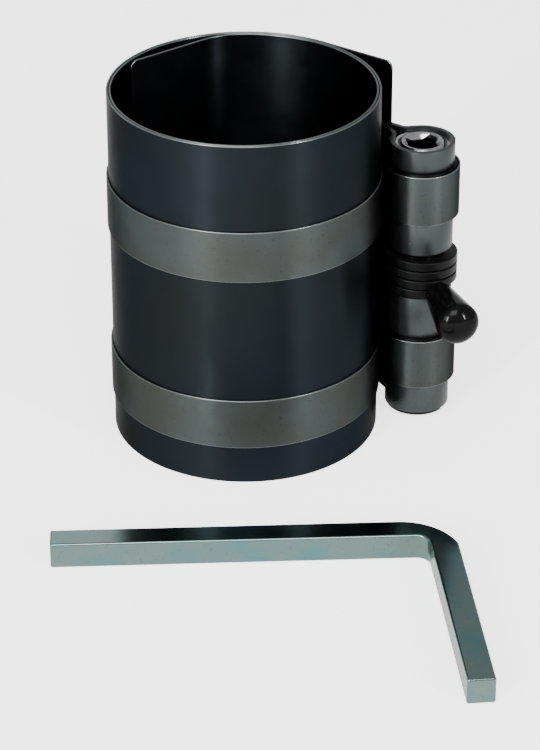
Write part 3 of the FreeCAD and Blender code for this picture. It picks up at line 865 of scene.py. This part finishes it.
def band_route(sizes, clamp):
    """From the riveted tail, round the sleeve, to the outermost turn of the roll on the spindle."""
    radii, pitch = layer_radii(sizes)
    placed = flange_frame(sizes)
    tail = stack_levels(sizes, clamp)[3]
    tail_end = rivet_along(sizes, clamp) + sizes.tail / 2
    offset = sizes.sheet / 2 + sizes.touch + sizes.band / 2
    bend = (placed(tail_end, tail - sizes.tail_bend), -sizes.tail_bend)
    right = (np.zeros(2), -(radii[1] + offset))
    left = (facing(sizes.flange_azimuth) * pitch / 2, -(radii[0] + offset))
    roll = (spindle_axis, -(sizes.roll_radius - sizes.band / 2))
    to_sleeve, first = straight_between(bend, right)
    to_spindle, second = straight_between(left, roll)
    route = Route(placed(tail_end - sizes.tail, tail), sizes.flange_azimuth - 90).run(sizes.tail)
    route.right_to(-bend[1], to_sleeve).run(first)
    route.right_to(-right[1], sizes.flange_azimuth + 90)
    route.right_to(-left[1], to_spindle).run(second)
    return route.turn(-roll[1], -sizes.outer_wrap, step=0.3 * MM)


# The coil brake, its lever and the grip


def coil_radius(clamp, brake):
    return clamp.spindle_radius + clamp.running + brake.wire_width / 2


def lever_run(clamp, brake):
    """Length of the lever's straight run, from its end to its bend."""
    return brake.grip_end - brake.grip_wall - coil_radius(clamp, brake) - brake.lever_bend


def lever_route(clamp, brake):
    """From the arm's end inwards, round the bend and up the lever's own turn of the coil."""
    radius = coil_radius(clamp, brake)
    outwards, forwards = facing(brake.lever_azimuth), facing(brake.lever_azimuth + 90)
    reach = brake.grip_end - brake.grip_wall
    start = spindle_axis + outwards * reach + forwards * brake.lever_bend
    route = Route(start, brake.lever_azimuth + 180).run(lever_run(clamp, brake))
    route.turn(brake.lever_bend, 90, step=0.2 * MM)
    return route.turn(radius, -brake.lever_turn, step=0.35 * MM)


def spring_route(clamp, brake, degrees):
    """Up the fixed turns of the coil, and out along the tang between the bracket's legs."""
    radius = coil_radius(clamp, brake)
    azimuth = brake.lever_azimuth - brake.lever_turn - brake.lever_cut
    route = Route(spindle_axis + facing(azimuth) * radius, azimuth - 90)
    route.turn(radius, -degrees, step=0.35 * MM).turn(brake.tang_bend, 90, step=0.2 * MM)
    return route.run(brake.tang_reach - radius - brake.tang_bend)


def wire_piece(name, route, brake, start, climb_from, climb_to, **where):
    """Wire of rounded rectangular section that climbs evenly between two distances."""
    along = route.plan()[2]
    section = rounded_section(brake.wire_width, brake.wire_height, brake.wire_edge)
    turned = (np.clip(along, climb_from, climb_to) - climb_from) / (math.tau * start[1])
    middle = start[0] + brake.pitch * turned
    return swept_piece(name, route, section, middle, np.ones(len(along)), **where)


def grip_outline(brake, steps=8):
    """Radius and height of the grip's half section: a small lip, a long taper and a domed end.
    The end is a quarter of an ellipse: r = tip cos a, h = shoulder + dome sin a."""
    around = facing(np.linspace(-90, 0, steps))
    lip = brake.grip_root - brake.grip_lip + brake.grip_lip * around[:, 0]
    lip_height = brake.grip_start + brake.grip_lip * (1 + around[:, 1])
    shoulder = brake.grip_end - brake.grip_dome
    part = np.linspace(0, 1, 16)[1:]
    taper = brake.grip_root + (brake.grip_tip - brake.grip_root) * part
    taper_height = lip_height[-1] + (shoulder - lip_height[-1]) * part
    dome = facing(np.linspace(0, 90, 3 * steps + 1)[1:-1])
    end = brake.grip_tip * dome[:, 0]
    end_height = shoulder + brake.grip_dome * dome[:, 1]
    radii = np.concatenate([[0], lip, taper, end, [0]])
    levels = np.concatenate([lip_height, taper_height, end_height])
    levels = np.concatenate([[brake.grip_start], levels, [brake.grip_end]])
    return np.stack([radii, levels], axis=-1)


# Operators


def settings(context):
    """The sizes and finishes kept with the scene."""
    return context.scene.compressor


class COMPRESSOR_OT_sleeve(bpy.types.Operator):
    """Rolls the spring steel sleeve with its flange"""

    bl_idname = "compressor.sleeve"
    bl_label = "Sleeve"

    def execute(self, context):
        held = settings(context)
        sizes = held.sleeve
        sheet_piece(
            "rolled_sleeve", sleeve_route(sizes), sizes.sheet, *heights("sleeve"), sizes.edge,
            trims=(sizes.flange_corner, sizes.inner_corner), body="clamp",
            material=blued_steel(held.finish), slot="blued_steel", replaced=("sleeve",),
        )
        return {"FINISHED"}


class COMPRESSOR_OT_bands(bpy.types.Operator):
    """Lays the two tightening bands round the sleeve and finishes their windings"""

    bl_idname = "compressor.bands"
    bl_label = "Bands"

    def execute(self, context):
        held = settings(context)
        sizes = held.sleeve
        steel = band_steel(held.finish)
        for node in ("upper_band", "lower_band"):
            sheet_piece(
                node + "_strip", band_route(sizes, held.clamp), sizes.band, *heights(node),
                sizes.band_edge, body="clamp", material=steel, slot="band_steel", replaced=(node,),
            )
            finish_node(node + "_winding", steel)
        return {"FINISHED"}


class COMPRESSOR_OT_bracket(bpy.types.Operator):
    """Finishes the bracket, its four bushes and all the rivets"""

    bl_idname = "compressor.bracket"
    bl_label = "Bracket and rivets"

    def execute(self, context):
        held = settings(context)
        steel = bracket_steel(held.finish)
        softened_piece("bracket", held.clamp.edge, "clamp", steel, "bracket_steel")
        for place in ("bottom", "lower_mid", "upper_mid", "top"):
            finish_node(place + "_bush", bright_steel(held.finish))
        for node in ("bracket_rivets", "upper_band_rivets", "lower_band_rivets"):
            finish_node(node, rivet_steel(held.finish))
        return {"FINISHED"}


class COMPRESSOR_OT_spindle(bpy.types.Operator):
    """Finishes the spindle with its square socket, and the ring that holds it"""

    bl_idname = "compressor.spindle"
    bl_label = "Spindle"

    def execute(self, context):
        held = settings(context)
        clamp = held.clamp
        cone = lead_in_cone(clamp.mouth, heights("spindle")[1])
        steel, wire = spindle_steel(held.finish), spring_wire(held.finish)
        softened_piece("spindle", clamp.spindle_edge, "spindle", steel, "spindle_steel", tool=cone)
        softened_piece("retaining_ring", clamp.ring_edge, "spindle", wire, "spring_wire")
        return {"FINISHED"}


class COMPRESSOR_OT_brake(bpy.types.Operator):
    """Winds the coil brake and the turn that is its release lever"""

    bl_idname = "compressor.brake"
    bl_label = "Coil brake and lever"

    def execute(self, context):
        held = settings(context)
        clamp, brake = held.clamp, held.brake
        radius = coil_radius(clamp, brake)
        wire = spring_wire(held.finish)
        bottom = heights("release_lever")[0] + brake.wire_height / 2
        top = heights("brake_spring")[1] - brake.wire_height / 2
        cut = brake.lever_turn + brake.lever_cut
        degrees = 360 * (top - bottom) / brake.pitch - cut
        arm = lever_run(clamp, brake) + brake.lever_bend * math.pi / 2
        wire_piece(
            "release_lever_wire", lever_route(clamp, brake), brake, (bottom, radius), arm, math.inf,
            body="lever", material=wire, slot="spring_wire", replaced=("release_lever",),
        )
        wire_piece(
            "brake_coil", spring_route(clamp, brake, degrees), brake,
            (bottom + brake.pitch * cut / 360, radius), 0, radius * math.radians(degrees),
            body="clamp", material=wire, slot="spring_wire", replaced=("brake_spring",),
        )
        return {"FINISHED"}


class COMPRESSOR_OT_grip(bpy.types.Operator):
    """Pushes the soft grip over the lever"""

    bl_idname = "compressor.grip"
    bl_label = "Grip"

    def execute(self, context):
        held = settings(context)
        brake = held.brake
        turned = turned_grid(grip_outline(brake))
        outwards, sideways = facing(brake.lever_azimuth), facing(brake.lever_azimuth + 90)
        middle = heights("release_lever")[0] + brake.wire_height / 2
        grid = np.empty(turned.shape)
        grid[..., :2] = spindle_axis + sideways * brake.lever_bend
        grid[..., :2] += turned[..., 2:] * outwards + turned[..., 1:2] * sideways
        grid[..., 2] = middle - turned[..., 0]
        piece = new_piece(
            "lever_grip_sleeve", grid, turned_faces(*grid.shape[:2]),
            body="lever", material=grip_vinyl(held.finish), slot="grip_vinyl",
            replaced=("lever_grip",), smooth=60.0,
        )
        close_poles(piece.data)
        return {"FINISHED"}


class COMPRESSOR_OT_key(bpy.types.Operator):
    """Finishes the square key"""

    bl_idname = "compressor.key"
    bl_label = "Key"

    def execute(self, context):
        finish_node("key", zinc_plate(settings(context).finish))
        return {"FINISHED"}


class COMPRESSOR_OT_stage(bpy.types.Operator):
    """Sets the floor, the lights and the camera"""

    bl_idname = "compressor.stage"
    bl_label = "Stage"

    def execute(self, context):
        values = settings(context).stage
        half = values.floor_size / 2
        corners = np.array([[-1, -1, 0], [1, -1, 0], [1, 1, 0], [-1, 1, 0]]) * half
        mesh = bpy.data.meshes.new("floor")
        mesh.from_pydata((corners - [0, 0, values.floor_gap]).tolist(), [], [(0, 1, 2, 3)])
        mesh.materials.append(studio_floor(values))
        staged = [bpy.data.objects.new("floor", mesh)]
        staged.extend(lamp(name, values) for name in LAMPS)
        lens = bpy.data.cameras.new("camera")
        lens.sensor_fit = "VERTICAL"
        lens.sensor_height = FRAME_HEIGHT
        lens.lens = values.lens
        lens.clip_start, lens.clip_end = 0.01, 20
        camera = bpy.data.objects.new("camera", lens)
        place = Matrix.Translation((values.camera_x, values.camera_y, values.camera_z))
        tilt = Matrix.Rotation(math.radians(90 - values.look_down), 4, "X")
        camera.matrix_world = place @ tilt @ Matrix.Rotation(math.radians(-values.roll), 4, "Z")
        staged.append(camera)
        for piece in staged:
            context.scene.collection.objects.link(piece)
        context.scene.camera = camera
        world = bpy.data.worlds.new("studio")
        world.use_nodes = True
        background = world.node_tree.nodes["Background"]
        background.inputs["Color"].default_value = (*values.sky_tint, 1)
        background.inputs["Strength"].default_value = values.sky
        context.scene.world = world
        return {"FINISHED"}


def lamp(name, values):
    """A soft lamp that faces the object."""
    azimuth, rise, width, height, power = LAMPS[name]
    light = bpy.data.lights.new(name, "AREA")
    light.shape = "RECTANGLE"
    light.size = width
    light.size_y = height
    light.energy = power * values.lamp_power
    made = bpy.data.objects.new(name, light)
    aim = Vector((0, 0, LAMP_AIM))
    across = facing(azimuth) * math.cos(math.radians(rise))
    away = Vector((*across, math.sin(math.radians(rise))))
    made.location = aim + away * values.lamp_distance
    made.rotation_euler = away.to_track_quat("Z", "Y").to_euler()
    return made


class COMPRESSOR_PT_panel(bpy.types.Panel):
    """Lists the pieces, the stage and their settings"""

    bl_idname = "COMPRESSOR_PT_panel"
    bl_label = "Piston ring compressor"
    bl_space_type = "VIEW_3D"
    bl_region_type = "UI"
    bl_category = "Compressor"

    def draw(self, context):
        held = settings(context)
        for operator in OPERATORS:
            self.layout.operator(operator.bl_idname)
        for name in ("sleeve", "clamp", "brake", "finish", "stage"):
            box = self.layout.box()
            box.label(text=name.capitalize())
            group = getattr(held, name)
            for key in group.bl_rna.properties.keys():
                if key not in ("rna_type", "name"):
                    box.prop(group, key)


class Settings(bpy.types.PropertyGroup):
    """Everything that can be set, by group."""

    sleeve: PointerProperty(type=SleeveSizes, name="Sleeve", description="The sleeve and its bands")
    clamp: PointerProperty(type=ClampSizes, name="Clamp", description="The bracket and the spindle")
    brake: PointerProperty(type=BrakeSizes, name="Brake", description="The coil and its lever")
    finish: PointerProperty(type=Finishes, name="Finish", description="Colours and gloss")
    stage: PointerProperty(type=StageSettings, name="Stage", description="Floor, lights and camera")


OPERATORS = (
    COMPRESSOR_OT_sleeve,
    COMPRESSOR_OT_bands,
    COMPRESSOR_OT_bracket,
    COMPRESSOR_OT_spindle,
    COMPRESSOR_OT_brake,
    COMPRESSOR_OT_grip,
    COMPRESSOR_OT_key,
    COMPRESSOR_OT_stage,
)
GROUPS = (SleeveSizes, ClampSizes, BrakeSizes, Finishes, StageSettings, Settings)


def register():
    for entry in (*GROUPS, *OPERATORS, COMPRESSOR_PT_panel):
        bpy.utils.register_class(entry)
    bpy.types.Scene.compressor = PointerProperty(type=Settings)


def unregister():
    del bpy.types.Scene.compressor
    for entry in reversed((*GROUPS, *OPERATORS, COMPRESSOR_PT_panel)):
        bpy.utils.unregister_class(entry)


def main():
    register()
    for operator in OPERATORS:
        group, name = operator.bl_idname.split(".")
        getattr(getattr(bpy.ops, group), name)()


if __name__ == "__main__":
    main()
